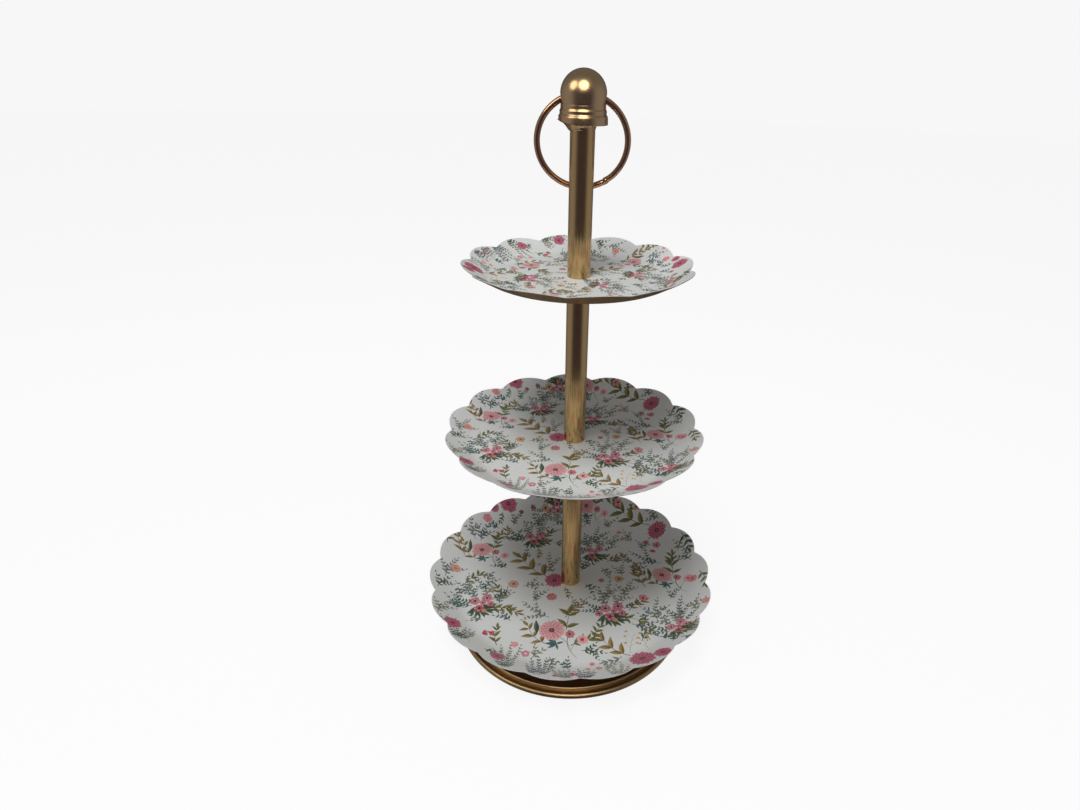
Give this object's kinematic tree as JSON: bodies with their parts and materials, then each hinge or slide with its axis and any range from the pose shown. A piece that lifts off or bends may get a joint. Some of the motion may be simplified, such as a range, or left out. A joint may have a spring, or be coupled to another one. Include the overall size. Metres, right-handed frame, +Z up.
{
  "type": "tiered cake stand",
  "caption": "Tiered cake stand with scalloped floral enamelled trays on a screwed gold post, a spun round foot and a swinging ring handle.",
  "frame": {"origin": "on the floor, on the post's axis, at the centre of the foot", "axes": "+Z up along the post, -Y towards the front, +X to the right; the ring leans on the back (+Y) of the post"},
  "size_m": [0.2936, 0.2932, 0.5365],
  "materials": {
    "gold_lacquer": "polished, clear-lacquered",
    "brazing_metal": "brazed, lightly wiped, under lacquer",
    "plain_brass": "turned",
    "zinc_steel": "zinc plated",
    "fibre": "vulcanised fibre, matt",
    "printed_enamel": "white enamel with a floral transfer print above, bronze lacquer below"
  },
  "bodies": {
    "stand": {"base_bolt": "zinc_steel", "base_spring_washer": "zinc_steel", "base_washer": "zinc_steel", "finial_braze": "brazing_metal", "finial_cap": "gold_lacquer", "finial_collar": "plain_brass", "foot": "gold_lacquer", "foot_gasket": "fibre", "lower_post_bottom_insert": "plain_brass", "lower_post_top_insert": "plain_brass", "lower_post_tube": "gold_lacquer", "lower_tray": "printed_enamel", "middle_post_bottom_insert": "plain_brass", "middle_post_top_insert": "plain_brass", "middle_post_tube": "gold_lacquer", "middle_stud": "zinc_steel", "middle_tray": "printed_enamel", "middle_tray_washer": "fibre", "upper_post_bottom_insert": "plain_brass", "upper_post_top_plug": "plain_brass", "upper_post_tube": "gold_lacquer", "upper_stud": "zinc_steel", "upper_tray": "printed_enamel", "upper_tray_washer": "fibre"},
    "handle": {"handle_ring": "gold_lacquer", "ring_braze": "brazing_metal"}
  },
  "joints": [
    {"name": "ring_swing", "type": "hinge", "parent": "stand", "child": "handle", "pos_m": [0, 0, 0.5143], "axis": [1, 0, 0], "range_deg": [0, 338]}
  ]
}
